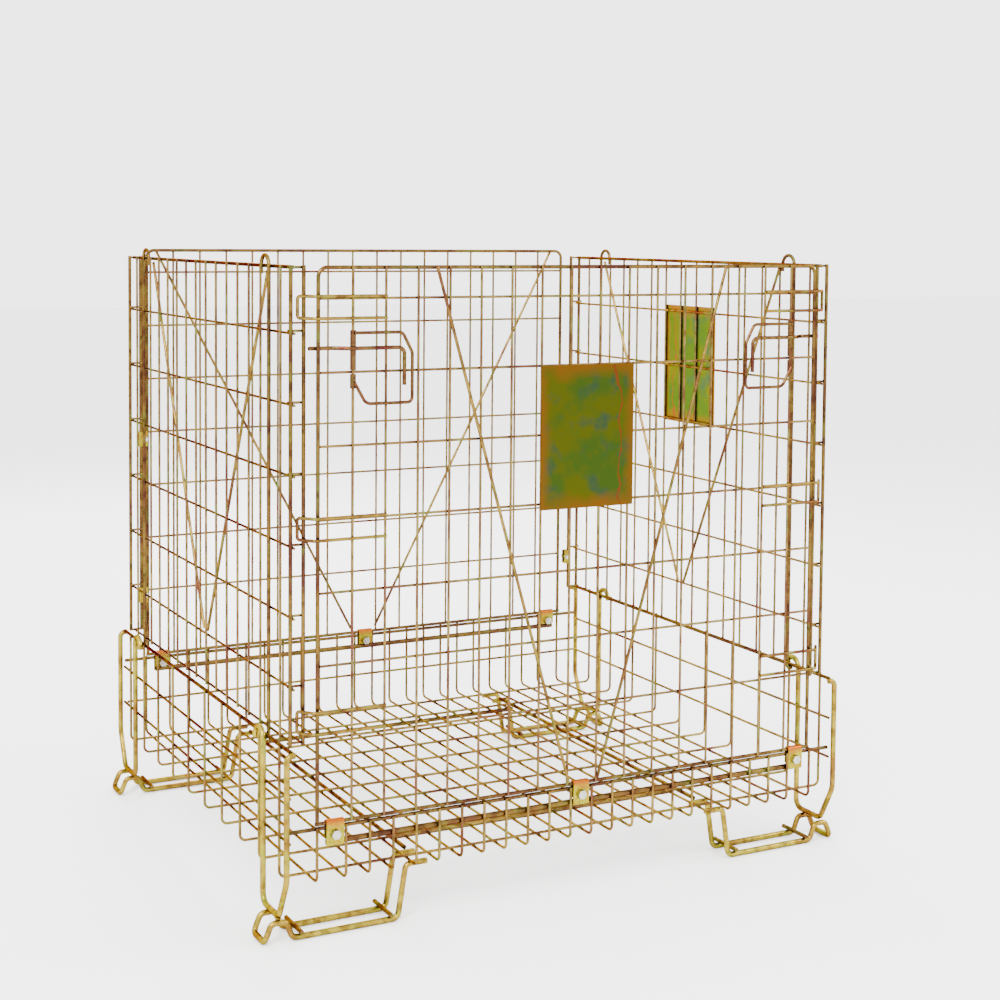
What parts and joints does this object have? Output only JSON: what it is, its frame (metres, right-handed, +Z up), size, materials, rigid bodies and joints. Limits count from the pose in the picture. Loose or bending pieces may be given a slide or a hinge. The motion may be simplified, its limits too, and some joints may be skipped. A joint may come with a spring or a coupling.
{
  "type": "foldable wire mesh container",
  "caption": "Stackable wire mesh container on rod feet, with front, back and side mesh panels that fold flat over a low wire basket, and turning latch handles.",
  "frame": {"origin": "ground plane below the middle of the floor, at the bottom centre of the bounding box", "axes": "+X across the front to the right, +Y from the front to the back, +Z up"},
  "size_m": [1.044, 0.8861, 1.012],
  "materials": {
    "foot_rod_zinc": "yellow chromated zinc on heavy rod, dull gold",
    "frame_rod_zinc": "yellow chromated zinc, satin, iridescent",
    "basket_wire_zinc": "yellow chromated zinc, satin, iridescent",
    "mesh_wire_zinc": "yellow chromated zinc, satin, iridescent",
    "brace_wire_zinc": "yellow chromated zinc, satin, iridescent",
    "label_plate_zinc": "yellow-green chromated zinc sheet, mottled",
    "strap_zinc": "yellow chromated zinc plate",
    "bolt_zinc": "bright zinc"
  },
  "bodies": {
    "base": {"back_hinge_straps": "strap_zinc", "back_wall_rail": "basket_wire_zinc", "back_wall_rods": "frame_rod_zinc", "floor_cross_wires": "basket_wire_zinc", "floor_long_wires": "basket_wire_zinc", "foot_post_back_left": "foot_rod_zinc", "foot_post_back_right": "foot_rod_zinc", "foot_post_front_left": "foot_rod_zinc", "foot_post_front_right": "foot_rod_zinc", "foot_runner_back_left": "foot_rod_zinc", "foot_runner_back_right": "foot_rod_zinc", "foot_runner_front_left": "foot_rod_zinc", "foot_runner_front_right": "foot_rod_zinc", "front_hinge_straps": "strap_zinc", "front_wall_rods": "frame_rod_zinc", "runner_ties": "frame_rod_zinc", "side_rim_rods": "frame_rod_zinc", "side_wall_rails": "basket_wire_zinc", "strap_bolts": "bolt_zinc", "strap_nuts": "bolt_zinc", "under_floor_rods": "frame_rod_zinc"},
    "front_panel": {"front_hinge_rod": "frame_rod_zinc", "front_frame": "frame_rod_zinc", "front_mesh_uprights": "mesh_wire_zinc", "front_mesh_rows": "mesh_wire_zinc", "front_braces": "brace_wire_zinc", "front_label_plate": "label_plate_zinc", "spring_catches_left": "brace_wire_zinc", "spring_catches_right": "brace_wire_zinc"},
    "back_panel": {"back_hinge_rod": "frame_rod_zinc", "back_frame": "frame_rod_zinc", "back_mesh_uprights": "mesh_wire_zinc", "back_mesh_rows": "mesh_wire_zinc", "back_braces": "brace_wire_zinc"},
    "left_panel": {"left_braces": "brace_wire_zinc", "left_clip_bolts": "bolt_zinc", "left_clip_nuts": "bolt_zinc", "left_corner_clips": "strap_zinc", "left_ladder_rods": "frame_rod_zinc", "left_ladder_rungs": "mesh_wire_zinc", "left_mesh_rows": "mesh_wire_zinc", "left_mesh_uprights": "mesh_wire_zinc", "left_side_posts": "frame_rod_zinc", "left_top_and_bottom": "frame_rod_zinc"},
    "right_panel": {"right_braces": "brace_wire_zinc", "right_clip_bolts": "bolt_zinc", "right_clip_nuts": "bolt_zinc", "right_corner_clips": "strap_zinc", "right_label_plate": "label_plate_zinc", "right_ladder_rods": "frame_rod_zinc", "right_ladder_rungs": "mesh_wire_zinc", "right_mesh_rows": "mesh_wire_zinc", "right_mesh_uprights": "mesh_wire_zinc", "right_side_posts": "frame_rod_zinc", "right_top_and_bottom": "frame_rod_zinc"},
    "latch_left": {"latch_handle_left": "brace_wire_zinc"},
    "latch_right": {"latch_handle_right": "brace_wire_zinc"}
  },
  "joints": [
    {"name": "front_fold", "type": "hinge", "parent": "base", "child": "front_panel", "pos_m": [0, -0.42975, 0.1773], "axis": [-1, 0, 0], "range_deg": [0, 90], "deforming": ["spring_catches_left", "spring_catches_right"]},
    {"name": "back_fold", "type": "hinge", "parent": "base", "child": "back_panel", "pos_m": [0, 0.42975, 0.2415], "axis": [1, 0, 0], "range_deg": [0, 90]},
    {"name": "left_fold", "type": "hinge", "parent": "base", "child": "left_panel", "pos_m": [-0.488, 0, 0.2905], "axis": [0, 1, 0], "range_deg": [0, 90]},
    {"name": "right_fold", "type": "hinge", "parent": "base", "child": "right_panel", "pos_m": [0.488, 0, 0.2905], "axis": [0, -1, 0], "range_deg": [0, 83]},
    {"name": "latch_left_turn", "type": "hinge", "parent": "front_panel", "child": "latch_left", "pos_m": [-0.39265, -0.43475, 0.86], "axis": [0, 0, 1], "range_deg": [-60, 0]},
    {"name": "latch_right_turn", "type": "hinge", "parent": "front_panel", "child": "latch_right", "pos_m": [0.39265, -0.43475, 0.86], "axis": [0, 0, -1], "range_deg": [-60, 0]}
  ]
}
